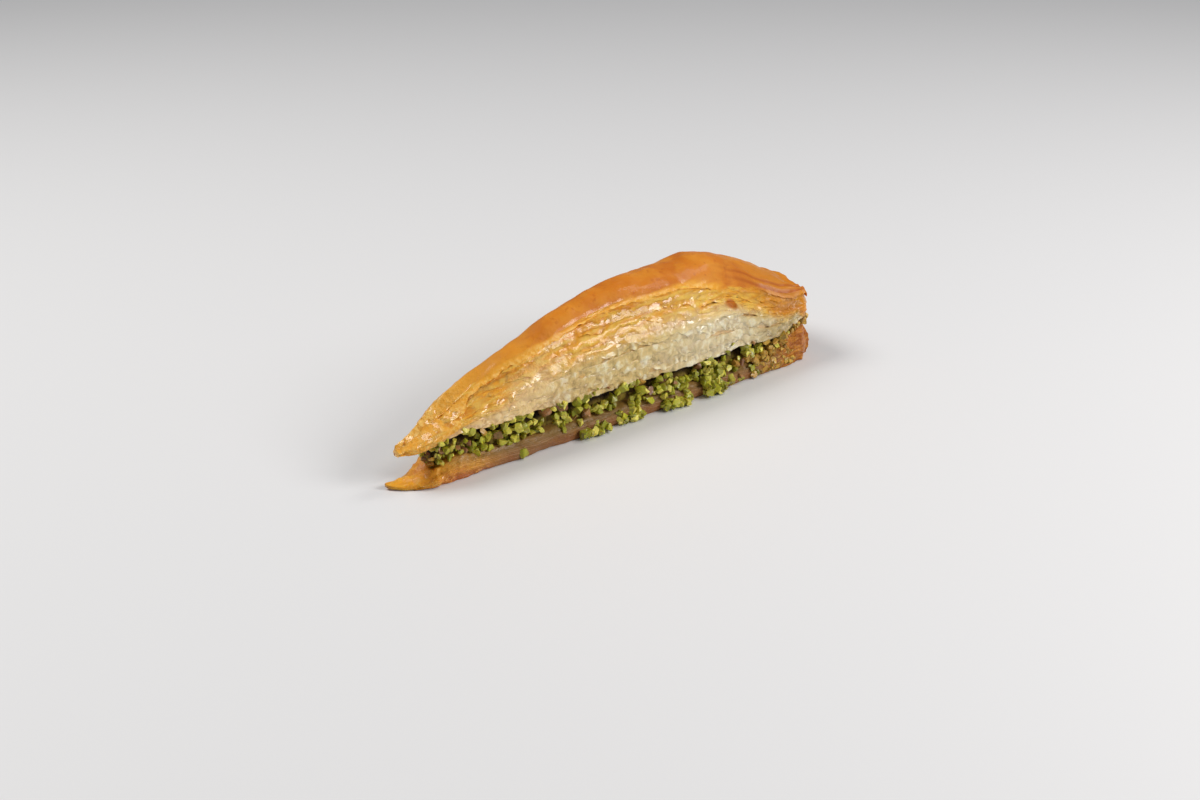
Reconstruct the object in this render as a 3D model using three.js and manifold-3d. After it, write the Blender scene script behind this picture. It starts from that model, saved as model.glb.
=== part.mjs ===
// A carrot slice of pistachio baklava: one long wedge cut from a round tray.
// Syrup-soaked pastry leaves lie under a bed of chopped pistachio, and a tall puffed stack of
// leaves with a browned crust covers it. The knife has left a tall cut face on both long sides,
// and the broad end is the baked rim of the tray.
//
// Frame, in millimetres: +X runs along the slice's middle line from the tip to the broad end,
// +Z is up, and the origin is on the flat underside, halfway along.
import * as THREE from "three";
import { mergeVertices } from "three/addons/utils/BufferGeometryUtils.js";
import Module from "manifold-3d";

// ---------------------------------------------------------------- driving dimensions
const LENGTH = 172; // tip to broad end
const TIP_HALF_WIDTH = 5; // what the straight cut sides would have at the tip
const END_HALF_WIDTH = 22.5;
const SIDE_BULGE = 1; // the cut sides swell a little, two thirds along
const TRAY_RADIUS = 172; // the broad end follows the tray's rim
const CORNER_RADIUS = 7; // of the two corners at the broad end, seen from above
const BASE_HEIGHT = 7; // the soaked leaves
const FILLING_START = 11; // the filling stands back from the tip
const LID_UNDERSIDE = 15.2;
const LID_THICKNESS = 29; // at the crest
const CREST_AT = 120; // the crest's highest point, from the tip
const SHOULDER_INSET = 7; // the crust's edge stands back from the cut face
const GAP = 0.3; // between neighbouring solids
const NUT_RADIUS = 1.75; // mean, of a chopped pistachio piece

// ---------------------------------------------------------------- small helpers
const clamp = (v, low, high) => Math.min(high, Math.max(low, v));
const mix = (a, b, share) => a + (b - a) * share;
const smooth = (low, high, v) => {
  const t = clamp((v - low) / (high - low), 0, 1);
  return t * t * (3 - 2 * t);
};
const bump = (v, centre, width) => Math.exp(-(((v - centre) / width) ** 2));

// A slow, uneven wave from -1 to 1, different for each phase.
const waver = (v, phase) =>
  (Math.sin(v + phase) + Math.sin(2.3 * v + 1.7 * phase) + Math.sin(4.1 * v + 2.9 * phase)) / 3;

// Seeded numbers from 0 to 1, so that every run scatters the nuts alike.
function seeded(seed) {
  let state = seed;
  return () => {
    state = (state * 1664525 + 1013904223) % 4294967296;
    return state / 4294967296;
  };
}

// ---------------------------------------------------------------- the slice's outline
// Half the width at a distance s from the tip.
function halfWidth(s) {
  const straight = mix(TIP_HALF_WIDTH, END_HALF_WIDTH, s / LENGTH);
  const bulge = SIDE_BULGE * bump(s / LENGTH, 0.66, 0.2);
  const point = 1 - Math.exp(-s / 3);
  const round = clamp((s - LENGTH + CORNER_RADIUS) / CORNER_RADIUS, 0, 1);
  return (straight + bulge) * point - CORNER_RADIUS * (1 - Math.sqrt(1 - 0.96 * round ** 2));
}

// A point of the slice, with the broad end bent to the tray's rim.
function place(s, u, z) {
  const rim = (u * u * (s / LENGTH) ** 4) / (2 * TRAY_RADIUS);
  return [s - rim - LENGTH / 2, u, z];
}

// ---------------------------------------------------------------- a block mapped to a shape
// A box cut into cells, whose points go where map(along, across, up) says, with along from
// 0 to 1, across from -1 to 1 and up from 0 to 1. The result is one closed surface.
function mappedBlock(cells, map) {
  const box = new THREE.BoxGeometry(1, 1, 1, ...cells);
  box.deleteAttribute("normal");
  box.deleteAttribute("uv");
  const shape = mergeVertices(box, 1e-5);
  const points = shape.getAttribute("position");
  for (let i = 0; i < points.count; i++) {
    points.setXYZ(i, ...map(points.getX(i) + 0.5, 2 * points.getY(i), points.getZ(i) + 0.5));
  }
  return shape;
}

// ---------------------------------------------------------------- solids that join and cut
const wasm = await Module();
wasm.setup();

function solid(geometry) {
  return new wasm.Manifold(
    new wasm.Mesh({
      numProp: 3,
      vertProperties: new Float32Array(geometry.getAttribute("position").array),
      triVerts: new Uint32Array(geometry.index.array),
    }),
  );
}

function geometryOf(manifold) {
  const mesh = manifold.getMesh();
  const geometry = new THREE.BufferGeometry();
  geometry.setAttribute("position", new THREE.BufferAttribute(mesh.vertProperties, 3));
  geometry.setIndex(new THREE.BufferAttribute(mesh.triVerts, 1));
  return geometry;
}

// ---------------------------------------------------------------- the puffed top
// The leaves show on the cut faces as bundles: each stands out at its top edge and is set back
// under the bundle above it.
const LEAF_BUNDLES = 6;
const LEDGE_DEPTH = 0.6;
const CRUMPLE = 0.5; // of the soft cut edges
const LID_START = 4;
const LID_END = LENGTH + 1.5;

function lidUnderside(s) {
  const tipDroop = 5.5 * (1 - smooth(2, 18, s));
  const lift = 2 * smooth(78, 105, s) * (1 - smooth(158, 170, s));
  return LID_UNDERSIDE - tipDroop + lift;
}

function crestHeight(s) {
  const rise = (s / CREST_AT) ** 0.6;
  const fall = 1 - 0.71 * clamp((s - 115) / (LENGTH - 115), 0, 1) ** 1.7;
  const knolls = 4.3 * bump(s, 74, 24) + 1.6 * bump(s, 97, 12) + 0.6 * bump(s, 132, 9);
  const tipDroop = 7.5 * (1 - smooth(0, 26, s));
  return LID_UNDERSIDE + LID_THICKNESS * rise * fall + knolls - tipDroop;
}

// The crust's edge, where the cut face begins. On the far side it lies lower.
function shoulderHeight(s, side) {
  const near = 0.3 + 4 * bump(s, 80, 26) + 8.5 * bump(s, 142, 32) - smooth(158, LENGTH, s);
  const drop = near + (side > 0 ? 2 : 0);
  return Math.max(crestHeight(s) - drop, mix(lidUnderside(s), crestHeight(s), 0.6));
}

function lidPoint(along, across, up) {
  const s = mix(LID_START, LID_END, along ** 1.1);
  const side = Math.sign(across);
  const row = Math.round(2 * LEAF_BUNDLES * up);
  const bundle = Math.floor(row / 2);
  const onEdge = row % 2 === 1 || up === 1;
  const drift = (0.3 * waver(s / 17, 3 + side) * Math.sin(Math.PI * up)) / LEAF_BUNDLES;
  const level = up === 1 ? 1 : (bundle + (onEdge ? 0.75 : 0)) / LEAF_BUNDLES + drift;
  const depth = LEDGE_DEPTH * (1 + 0.6 * waver(s / 11, bundle + side)) * smooth(6, 24, s);
  const ledge = onEdge ? depth : -depth;
  const crumple = CRUMPLE * waver(s / 4, 7 * level + side) * smooth(8, 30, s) * (1 - level);

  const edge = shoulderHeight(s, side);
  const wrinkle = 0.5 * waver(s / 9 + across, 1) * (1 - across ** 2) * smooth(10, 40, s) * up;
  const dome = mix(edge, crestHeight(s), 1 - Math.abs(across) ** 2.4) + wrinkle;
  const half = halfWidth(s);
  const inset = Math.min(SHOULDER_INSET, half * 0.52) * (1 - 0.7 * smooth(150, 168, s));
  const out = side * (ledge + crumple) * Math.abs(across) ** 8;
  const rim = along === 1 ? ledge + 0.6 * waver(across * 3, level) : 0;
  const u = across * (half - inset * smooth(0.42, 1, level)) + out;
  return place(s + rim, u, mix(lidUnderside(s), dome, level));
}

// ---------------------------------------------------------------- the soaked base
const BASE_START = -2;
const BASE_TIP_HEIGHT = 2;
const TIP_BEND = 2.5; // the base's thin tip is pulled towards +Y
const FOOT = 0.8; // the base stands out past the pastry above it

function baseTop(s) {
  return mix(BASE_TIP_HEIGHT, BASE_HEIGHT, smooth(2, 14, s));
}

function basePoint(along, across, up) {
  const s = mix(BASE_START, LENGTH, along ** 1.1);
  const side = Math.sign(across) * Math.abs(across) ** 6;
  const bend = TIP_BEND * (1 - smooth(BASE_START, 12, s));
  const swell = FOOT + 0.7 * Math.sin(Math.PI * up) + 0.4 * waver(s / 8, 2 + across);
  const half = halfWidth(s - BASE_START + 0.5);
  const farTaper = across > 0 ? mix(0.35, 1, smooth(0, 16, s)) : 1;
  const rim = along === 1 ? 1.2 * Math.sin(Math.PI * up) : 0;
  const u = bend + across * half * farTaper + side * swell * smooth(0, 12, s);
  return place(s + rim, u, baseTop(s) * up);
}

// ---------------------------------------------------------------- chopped pistachio
const random = seeded(11);

// An angular crumb: an icosahedron with uneven corners, squashed and turned at random.
function nutPiece(centre, size = 1) {
  const piece = new THREE.IcosahedronGeometry(NUT_RADIUS * size, 0);
  piece.deleteAttribute("normal");
  piece.deleteAttribute("uv");
  const crumb = mergeVertices(piece, 1e-4);
  const points = crumb.getAttribute("position");
  for (let i = 0; i < points.count; i++) {
    const stretch = mix(0.75, 1.2, random());
    points.setXYZ(i, points.getX(i) * stretch, points.getY(i) * stretch, points.getZ(i) * stretch);
  }
  crumb.scale(mix(0.85, 1.25, random()), mix(0.8, 1.05, random()), mix(0.7, 0.95, random()));
  crumb.rotateX(random() * Math.PI);
  crumb.rotateZ(random() * Math.PI);
  crumb.translate(...centre);
  return solid(crumb);
}

// Joins crumbs to a core and drops any that hangs loose.
function fused(core, crumbs, cut) {
  const bodies = cut(wasm.Manifold.union([core, ...crumbs])).decompose();
  return bodies.reduce((a, b) => (a.volume() > b.volume() ? a : b));
}

// ---------------------------------------------------------------- the filling
// The room between base and top, with a gap to each, wide enough for what spills out.
const room = solid(
  mappedBlock([40, 2, 1], (along, across, up) => {
    const s = mix(FILLING_START - 5, LENGTH + 3, along);
    const low = baseTop(Math.min(s, LENGTH)) + GAP;
    const half = END_HALF_WIDTH + 5;
    return place(s, across * half, mix(low, lidUnderside(s) - GAP, up));
  }),
);

const SETBACK = 1.7; // of the bare core's foot, from the cut faces
const UNDERCUT = 1.1; // the core's top stands back further, which leaves a dark gap
const NUT_ROWS = [0.24, 0.62]; // heights of the crumbs, as shares of the filling's own

function fillingHalf(s, up) {
  return halfWidth(Math.min(s, LENGTH - 4)) - SETBACK - UNDERCUT * up;
}

function fillingHeight(s, up) {
  return mix(baseTop(s) + GAP, lidUnderside(s) - GAP, up);
}

const fillingCore = solid(
  mappedBlock([40, 2, 2], (along, across, up) => {
    const s = mix(FILLING_START, LENGTH - SETBACK, along);
    const uneven = 0.35 * waver(s / 3, 2 * across + up) * Math.abs(across);
    return place(s, across * (fillingHalf(s, up) + uneven), fillingHeight(s, up));
  }),
);

const fillingNuts = [];
function fillingNut(s, u, up) {
  fillingNuts.push(nutPiece(place(s, u, fillingHeight(s, up)), mix(0.9, 1.15, random())));
}
for (const up of NUT_ROWS) {
  for (let s = FILLING_START; s < LENGTH - 4; s += 5) {
    const near = s + 3 * random();
    const far = s + 3 * random();
    fillingNut(near, -fillingHalf(near, up) - mix(0.1, 0.8, random()), up);
    if (far > 24 && up < 0.5) {
      fillingNut(far, fillingHalf(far, up) + mix(0.1, 0.8, random()), up);
    }
  }
  for (let u = -END_HALF_WIDTH + 4; u < END_HALF_WIDTH - 3; u += 4.6) {
    fillingNut(LENGTH - SETBACK + 0.5 * random(), u + random(), up);
  }
}
const filling = fused(fillingCore, fillingNuts, (all) => all.intersect(room));

// ---------------------------------------------------------------- crumbs that fell on the base
const baseCore = solid(mappedBlock([40, 2, 3], basePoint));
const overBase = solid(
  mappedBlock([1, 1, 1], (along, across, up) =>
    place(mix(-9, LENGTH + 9, along), across * (END_HALF_WIDTH + 9), mix(0, BASE_HEIGHT - 0.2, up)),
  ),
);
// Each cluster: its distance from the tip, its length and how far it reaches out on the plate.
const FALLEN_CLUSTERS = [
  [30, 1, 0],
  [40, 3, 0],
  [71, 8, 3.4],
  [86, 4, 0],
  [101, 8, 3.2],
  [112, 3, 2],
  [122, 10, 3.6],
  [148, 4, 0],
];
const fallenNuts = [];
for (const [middle, length, reach] of FALLEN_CLUSTERS) {
  for (let s = middle - length / 2; s < middle + length / 2; s += 2.7) {
    const foot = halfWidth(s) + FOOT;
    fallenNuts.push(nutPiece(place(s, -foot - 0.5, mix(1.6, 4, random()))));
    if (reach > 0) {
      fallenNuts.push(nutPiece(place(s, -foot - reach * mix(0.5, 1, random()), 1.2)));
      fallenNuts.push(nutPiece(place(s + 1.3, -foot - 0.45 * reach, 1.3)));
    }
  }
}
for (let s = 34; s < LENGTH - 12; s += 12) {
  fallenNuts.push(nutPiece(place(s, halfWidth(s) + FOOT + 0.5, mix(1.6, 4, random()))));
}
const base = fused(baseCore, fallenNuts, (all) => all.intersect(overBase));

// ---------------------------------------------------------------- the slice
const slice = new THREE.Group();

function addNode(name, geometry, colour, roughness) {
  const material = new THREE.MeshStandardMaterial({ color: colour, roughness, metalness: 0 });
  const mesh = new THREE.Mesh(geometry, material);
  mesh.name = name;
  slice.add(mesh);
}

addNode("top_pastry", mappedBlock([46, 8, 2 * LEAF_BUNDLES], lidPoint), "#d88a3c", 0.35);
addNode("pistachio_filling", geometryOf(filling), "#8ba038", 0.5);
addNode("bottom_pastry", geometryOf(base), "#9a6238", 0.4);

export default slice;
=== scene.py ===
import math

import bpy
import numpy as np
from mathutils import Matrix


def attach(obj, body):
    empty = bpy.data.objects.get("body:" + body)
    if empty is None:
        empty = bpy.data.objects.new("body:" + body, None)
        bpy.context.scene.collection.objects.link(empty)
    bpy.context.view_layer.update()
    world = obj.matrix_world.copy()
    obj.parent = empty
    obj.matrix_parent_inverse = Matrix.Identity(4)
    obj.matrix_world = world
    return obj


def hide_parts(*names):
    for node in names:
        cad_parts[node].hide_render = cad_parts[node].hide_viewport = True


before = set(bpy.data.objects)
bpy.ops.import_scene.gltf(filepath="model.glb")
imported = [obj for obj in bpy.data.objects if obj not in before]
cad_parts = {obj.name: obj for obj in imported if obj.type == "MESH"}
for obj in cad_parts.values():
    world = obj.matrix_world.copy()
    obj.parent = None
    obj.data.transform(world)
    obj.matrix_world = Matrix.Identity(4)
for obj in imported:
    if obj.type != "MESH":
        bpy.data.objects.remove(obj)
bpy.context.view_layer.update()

# ------------------------------------------------------------------ camera, floor and light
# The slice lies on a plain pale floor under a large soft window light, seen from its long cut
# side, a little above it. Lengths are in metres here, and in millimetres in the pieces below.
MM = 0.001
CAMERA_PLACE = (-0.3301, -0.3491, 0.2367)
CAMERA_TURN = (math.radians(64), 0, math.radians(-43.5))
LENS_MM = 47.13
SENSOR_MM = 36
FLOOR_SIZE = 6
FLOOR_GAP = 0.0002
FLOOR_COLOUR = (0.8, 0.8, 0.81, 1)
LIGHT_AIM = (0, 0, 0.02)
WARM_WHITE = (1, 0.98, 0.95)
WHITE = (1, 0.98, 0.96)
SKY_COLOUR = (0.95, 0.97, 1, 1)
SKY_STRENGTH = 0.22

bpy.ops.object.select_all(action="DESELECT")
bpy.ops.object.camera_add(location=CAMERA_PLACE, rotation=CAMERA_TURN)
camera = bpy.context.object
camera.data.lens = LENS_MM
camera.data.sensor_width = SENSOR_MM
camera.data.clip_start = 0.01
bpy.context.scene.camera = camera

bpy.ops.mesh.primitive_plane_add(size=FLOOR_SIZE, location=(0, 0, -FLOOR_GAP))
floor = bpy.context.object
floor.name = "floor"
floor_paint = bpy.data.materials.new("floor")
floor_paint.use_nodes = True
floor_shader = floor_paint.node_tree.nodes["Principled BSDF"]
floor_shader.inputs["Base Color"].default_value = FLOOR_COLOUR
floor_shader.inputs["Roughness"].default_value = 0.5
floor.data.materials.append(floor_paint)


def soft_light(name, place, size, watts, colour):
    """A round area light that faces the slice."""
    bpy.ops.object.light_add(type="AREA", location=place)
    light = bpy.context.object
    light.name = name
    light.data.shape = "DISK"
    light.data.size = size
    light.data.energy = watts
    light.data.color = colour
    way = [a - p for a, p in zip(LIGHT_AIM, place)]
    turn = math.atan2(way[1], way[0]) - math.pi / 2
    tilt = math.atan2(math.hypot(way[0], way[1]), -way[2])
    light.rotation_euler = (tilt, 0, turn)


soft_light("window", (-0.35, 0.45, 0.75), size=0.5, watts=4.8, colour=WARM_WHITE)
soft_light("front", (0.4, -0.72, 0.52), size=0.42, watts=5.2, colour=WHITE)
soft_light("side", (0.6, -0.2, 0.72), size=0.3, watts=1.6, colour=WHITE)

sky = bpy.data.worlds.new("studio")
bpy.context.scene.world = sky
sky.use_nodes = True
sky.node_tree.nodes["Background"].inputs["Color"].default_value = SKY_COLOUR
sky.node_tree.nodes["Background"].inputs["Strength"].default_value = SKY_STRENGTH
bpy.context.scene.view_settings.view_transform = "Standard"

# ------------------------------------------------------------------ soaked base
# Some ten leaves of pastry at the foot of the slice, pressed thin, baked brown underneath and
# soaked through with syrup. The knife leaves their edges as fine lines, and the syrup has
# drawn the leaves at the tip out into a thin, bent tongue.
LENGTH = 172
TIP_HALF_WIDTH = 5
END_HALF_WIDTH = 22.5
CORNER_RADIUS = 4.5
TRAY_RADIUS = 172
BASE_HEIGHT = 6
BASE_START = -1
BASE_LEAVES = 9
FOOT = 0.8
RIM_CURL = 7.5
TONGUE_LIFT = 0.7
TONGUE_BEND = 3
HASH_FACTORS = (73856093, 19349663, 83492791)
HASH_SEED_FACTOR = 2971215073
HASH_STIR = 1274126177


def mix(a, b, share):
    """From a at share 0 to b at share 1."""
    return a + (b - a) * share


def smooth(low, high, v):
    """0 below low, 1 above high, and an even curve between."""
    t = np.clip((v - low) / (high - low), 0, 1)
    return t * t * (3 - 2 * t)


def bump(v, centre, width):
    """1 at the centre, falling off to both sides."""
    return np.exp(-(((v - centre) / width) ** 2))


def waver(v, phase):
    """An uneven wave from -1 to 1."""
    return (np.sin(v + phase) + np.sin(2.3 * v + 1.7 * phase) + np.sin(4.1 * v + 2.9 * phase)) / 3


def lumps(places, size, seed):
    """Smooth noise from -1 to 1 with lumps about size millimetres wide, the same on every run."""
    places = np.asarray(places, float) / np.asarray(size, float)
    cell = np.floor(places).astype(np.int64)
    inside = places - cell
    inside = inside * inside * (3 - 2 * inside)
    total = 0
    for corner in np.ndindex(2, 2, 2):
        key = seed * HASH_SEED_FACTOR
        for axis, factor in enumerate(HASH_FACTORS):
            key = key ^ (cell[..., axis] + corner[axis]) * factor
        key = (key ^ key >> 13) * HASH_STIR & 0xFFFFFFFF
        value = ((key ^ key >> 16) & 0xFFFF) / 32767.5 - 1
        weight = np.prod(np.where(corner, inside, 1 - inside), axis=-1)
        total = total + weight * value
    return total


def half_width(s):
    """Half the slice's width, s millimetres from its tip."""
    straight = mix(TIP_HALF_WIDTH, END_HALF_WIDTH, s / LENGTH) + bump(s / LENGTH, 0.66, 0.2)
    corner = np.clip((s - LENGTH + CORNER_RADIUS) / CORNER_RADIUS, 0, 1)
    return straight * (1 - np.exp(-s / 3)) - CORNER_RADIUS * (1 - np.sqrt(1 - 0.96 * corner**2))


def far_share(s, across):
    """The +Y side is cut closer to the mid-line at the tip: the share of the width it keeps."""
    return np.where(across > 0, mix(0.35, 1, smooth(0, 22, s)), 1)


def place(s, u, z):
    """The row's own coordinates in millimetres, from s along the slice, u across it and z up.
    The broad end bends to the tray's rim."""
    rim = u * u * np.clip(s / LENGTH, 0, 1.1) ** 4 / (2 * TRAY_RADIUS)
    return np.stack([s - rim - LENGTH / 2, u, z], axis=-1)


def base_top(s):
    """The base leaves thin out to a tongue at the tip, and curl up where the tray's rim was."""
    return mix(1, BASE_HEIGHT, smooth(2, 19, s)) + 2.3 * bump(s, 21, 7) + RIM_CURL * smooth(150, 167, s)


def start_piece(name):
    """Names the new primitive and gives back its object and its points."""
    piece = bpy.context.object
    piece.name = piece.data.name = name
    points = np.empty(len(piece.data.vertices) * 3)
    piece.data.vertices.foreach_get("co", points)
    return piece, points.reshape(-1, 3)


def set_points(piece, points):
    """Moves the piece's points, given in millimetres."""
    piece.data.vertices.foreach_set("co", (np.asarray(points) * MM).ravel())
    piece.data.update()


def block(name, along, across, layers):
    """A unit block: a grid pulled up layer by layer. Its points run 0 to 1, -1 to 1 and 0 to 1."""
    bpy.ops.object.select_all(action="DESELECT")
    bpy.ops.mesh.primitive_grid_add(x_subdivisions=along, y_subdivisions=across, size=1)
    bpy.ops.object.mode_set(mode="EDIT")
    bpy.ops.mesh.select_all(action="SELECT")
    for _ in range(layers):
        bpy.ops.mesh.extrude_region_move(TRANSFORM_OT_translate={"value": (0, 0, 1 / layers)})
    bpy.ops.mesh.select_all(action="SELECT")
    bpy.ops.mesh.normals_make_consistent(inside=False)
    bpy.ops.object.mode_set(mode="OBJECT")
    piece, points = start_piece(name)
    return piece, points[:, 0] + 0.5, 2 * points[:, 1], points[:, 2]


def tint(piece, name, values):
    """Stores one number a point, which the material reads."""
    kept = piece.data.attributes.new(name, "FLOAT", "POINT")
    kept.data.foreach_set("value", np.asarray(values, np.float32))


def select_only(pieces):
    """Selects these pieces alone, and makes the first one active."""
    bpy.ops.object.select_all(action="DESELECT")
    for piece in pieces:
        piece.select_set(True)
    bpy.context.view_layer.objects.active = pieces[0]


def soften(piece, degrees=60):
    """Smooth shading, with edges kept where faces meet at more than the angle."""
    select_only([piece])
    bpy.ops.object.shade_smooth_by_angle(angle=math.radians(degrees))


base, along, across, up = block("soaked_base", along=330, across=30, layers=14)
s = mix(BASE_START, LENGTH, along**1.05)
side = np.sign(across) * np.abs(across) ** 8
half = half_width(s - BASE_START + 0.5) * far_share(s, across)
bend = TONGUE_BEND * (1 - smooth(BASE_START, 12, s))
flat = place(s, across * half, up * 7)
leaf_phase = 2 * math.pi * BASE_LEAVES * up + 1.5 * lumps(flat, (18, 60, 9), 1)
leaf_lines = 0.1 * np.sin(leaf_phase) * (1 - up**6)
crumple = 0.4 * lumps(flat, (9, 9, 5), 2) + 0.2 * lumps(flat, (2.6, 2.6, 2), 3)
frilly = 1 - smooth(14, 46, s) + 0.6 * smooth(138, 156, s)
crumple = crumple + (0.5 * lumps(flat, (3, 3, 2), 6) + 0.4 * lumps(flat, (1.3, 1.3, 1), 7)) * frilly
swell = FOOT - 0.9 * up**2 + 0.5 * np.sin(math.pi * up) + 0.4 * waver(s / 8, 2 + np.sign(across))
out = (swell * smooth(0, 12, s) + leaf_lines + crumple) * smooth(-2, 6, s)
rim = smooth(0.982, 1, along) * (3 * bump(up, 0.26, 0.36) - up**3 + leaf_lines + crumple)
top = base_top(s) + 0.5 * lumps(flat, (7, 7, 30), 4) * smooth(4, 16, s)
dents = 0.35 * lumps(flat, (2.5, 2.5, 30), 5)
dents = dents + 0.6 * frilly * lumps(flat, (1.7, 1.7, 30), 8) * smooth(0, 6, s)
z = top * up + dents * smooth(0.2, 1, up)
z = z - 1.1 * np.abs(across) ** 14 * smooth(0.6, 1, up) + TONGUE_LIFT * (1 - smooth(BASE_START, 5, s))
set_points(base, place(s + rim, bend + across * half + side * out, np.maximum(z, 0.02)))
tint(base, "glow", 1 - smooth(4, 50, s))
tint(base, "caramel", smooth(134, 162, s))
tint(base, "rise", up)
soften(base)


class Wire:
    """One value or colour in a material's nodes. Sums of them add Math nodes."""

    def __init__(self, tree, socket=None):
        self.tree = tree
        self.socket = socket

    def node(self, kind, settings=None, inputs=None, output=0):
        """Adds a node: its settings first, then its inputs, by name or number."""
        made = self.tree.nodes.new("ShaderNode" + kind)
        for name, value in (settings or {}).items():
            setattr(made, name, value)
        for name, value in (inputs or {}).items():
            if isinstance(value, Wire):
                self.tree.links.new(value.socket, made.inputs[name])
            else:
                made.inputs[name].default_value = value
        return Wire(self.tree, made.outputs[output])

    def sum(self, operation, first, second):
        """A Math node on two values, or on a value and a number."""
        return self.node("Math", {"operation": operation}, {0: first, 1: second})

    def __add__(self, other):
        return self.sum("ADD", self, other)

    def __radd__(self, other):
        return self.sum("ADD", other, self)

    def __sub__(self, other):
        return self.sum("SUBTRACT", self, other)

    def __rsub__(self, other):
        return self.sum("SUBTRACT", other, self)

    def __mul__(self, other):
        return self.sum("MULTIPLY", self, other)

    def __rmul__(self, other):
        return self.sum("MULTIPLY", other, self)

    def ripple(self):
        """The sine of this value."""
        return self.node("Math", {"operation": "SINE"}, {0: self})

    def between(self, low, high):
        """0 below low, 1 above high, and smooth between."""
        settings = {"interpolation_type": "SMOOTHSTEP"}
        inputs = {"Value": self, "From Min": low, "From Max": high}
        return self.node("MapRange", settings, inputs)

    def blend(self, first, second):
        """The first colour where this is 0, and the second where it is 1."""
        first, second = (c if isinstance(c, Wire) else (*c, 1) for c in (first, second))
        return self.node("Mix", {"data_type": "RGBA"}, {0: self, 6: first, 7: second}, output=2)


def finish(name, **constants):
    """A new material: gives back its node tools, its object coordinates and its shader."""
    material = bpy.data.materials.new(name)
    material.use_nodes = True
    shader = material.node_tree.nodes["Principled BSDF"]
    for socket, value in constants.items():
        shader.inputs[socket.replace("_", " ")].default_value = value
    tools = Wire(material.node_tree)
    return material, tools, tools.node("TexCoord", output=3), shader


def grain(tools, places, size, detail=3, stretch=(1, 1, 1)):
    """Noise from 0 to 1 with features about size millimetres wide."""
    scaled = tools.node("VectorMath", {"operation": "MULTIPLY"}, {0: places, 1: stretch})
    inputs = {"Vector": scaled, "Scale": 1 / (size * MM), "Detail": detail}
    return tools.node("TexNoise", None, inputs)


def attribute(tools, name):
    """The numbers that tint stored under a name."""
    return tools.node("Attribute", {"attribute_name": name}, output=2)


def feed(tools, shader, colour, height, depth, roughness=None, coat=None):
    """Joins a material's colour, bump, roughness and coat to its shader. Depth is in millimetres."""
    links = tools.tree.links
    links.new(colour.socket, shader.inputs["Base Color"])
    if roughness:
        links.new(roughness.socket, shader.inputs["Roughness"])
    if coat:
        links.new(coat.socket, shader.inputs["Coat Weight"])
    bump_node = tools.node("Bump", None, {"Strength": 1, "Distance": depth * MM, "Height": height})
    links.new(bump_node.socket, shader.inputs["Normal"])


UNDERSIDE_BROWN = (0.3, 0.115, 0.032)
SIDE_BROWN = (0.25, 0.14, 0.03)
PATCH_BROWN = (0.32, 0.16, 0.05)
SPECK_BROWN = (0.12, 0.055, 0.015)
TONGUE_DARK = (0.62, 0.21, 0.008)
TONGUE_LIGHT = (0.9, 0.41, 0.025)
TONGUE_SPECK = (0.95, 0.5, 0.07)
TONGUE_FOOT = (0.5, 0.12, 0.004)
DAMP_TOP = (0.34, 0.19, 0.05)
DAMP_FOOT = (0.4, 0.085, 0.004)
DAMP_GLINT_PAINT = (0.95, 0.42, 0.08)
TOFFEE_DARK = (0.25, 0.075, 0.004)
TOFFEE_LIGHT = (0.44, 0.17, 0.012)
TOFFEE_SPECK = (0.58, 0.36, 0.05)
TOFFEE_PATCH = (0.17, 0.036, 0.002)
RIND_DARK = (0.36, 0.1, 0.003)
RIND_LIGHT = (0.56, 0.205, 0.006)
RIND_LINE = (0.24, 0.05, 0.002)
soaked, tools, places, shader = finish(
    "soaked_pastry", Coat_Roughness=0.12, Specular_IOR_Level=0.3,
    Subsurface_Weight=0.2, Subsurface_Scale=0.003, Subsurface_Radius=(1, 0.5, 0.2),
)

# glow is 1 in the tongue, caramel is 1 at the broad end, and rise runs from the foot up.
patches = grain(tools, places, 9, 4)
fine = grain(tools, places, 1.4, 4)
mottle = grain(tools, places, 3, 4, (1, 1, 2.4))
rise = attribute(tools, "rise")
lines = (rise * 62 + patches * 9).ripple() * 0.5 + 0.5
brown = rise.between(0.2, 0.9).blend(UNDERSIDE_BROWN, SIDE_BROWN)
brown = (patches.between(0.4, 0.7) * 0.6).blend(brown, PATCH_BROWN)
brown = (fine.between(0.55, 0.8) * 0.5).blend(brown, SPECK_BROWN)
golden = patches.between(0.3, 0.7).blend(TONGUE_DARK, TONGUE_LIGHT)
golden = (fine.between(0.52, 0.68) * 0.5).blend(golden, TONGUE_SPECK)
golden = ((1 - rise.between(0.02, 0.3)) * 0.7).blend(golden, TONGUE_FOOT)
glow = attribute(tools, "glow")
caramel = attribute(tools, "caramel")
toffee = mottle.between(0.36, 0.6).blend(TOFFEE_DARK, TOFFEE_LIGHT)
toffee = (fine.between(0.48, 0.6) * 0.75).blend(toffee, TOFFEE_SPECK)
toffee = (patches.between(0.5, 0.64) * 0.4).blend(toffee, TOFFEE_PATCH)
rind = mottle.between(0.35, 0.65).blend(RIND_DARK, RIND_LIGHT)
rind = ((1 - lines.between(0.05, 0.4)) * 0.4).blend(rind, RIND_LINE)
toffee = caramel.between(0.82, 1).blend(toffee, rind)
damp = (rise.between(0.35, 0.9) * 0.7).blend(golden, DAMP_TOP)
damp = ((1 - rise.between(0.05, 0.45)) * 0.75).blend(damp, DAMP_FOOT)
# Painted highlights: bright glint specks on the lower part of the tongue.
damp = ((1 - rise.between(0.1, 0.5)) * fine.between(0.56, 0.66)).blend(damp, DAMP_GLINT_PAINT)
colour = glow.between(0.05, 0.8).blend(brown, damp)
colour = glow.between(0.7, 0.95).blend(colour, golden)
colour = caramel.blend(colour, toffee)
relief = (1 + 1.2 * glow + 1.2 * caramel) * fine + 0.5 * grain(tools, places, 0.6) + 0.3 * lines
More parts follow.
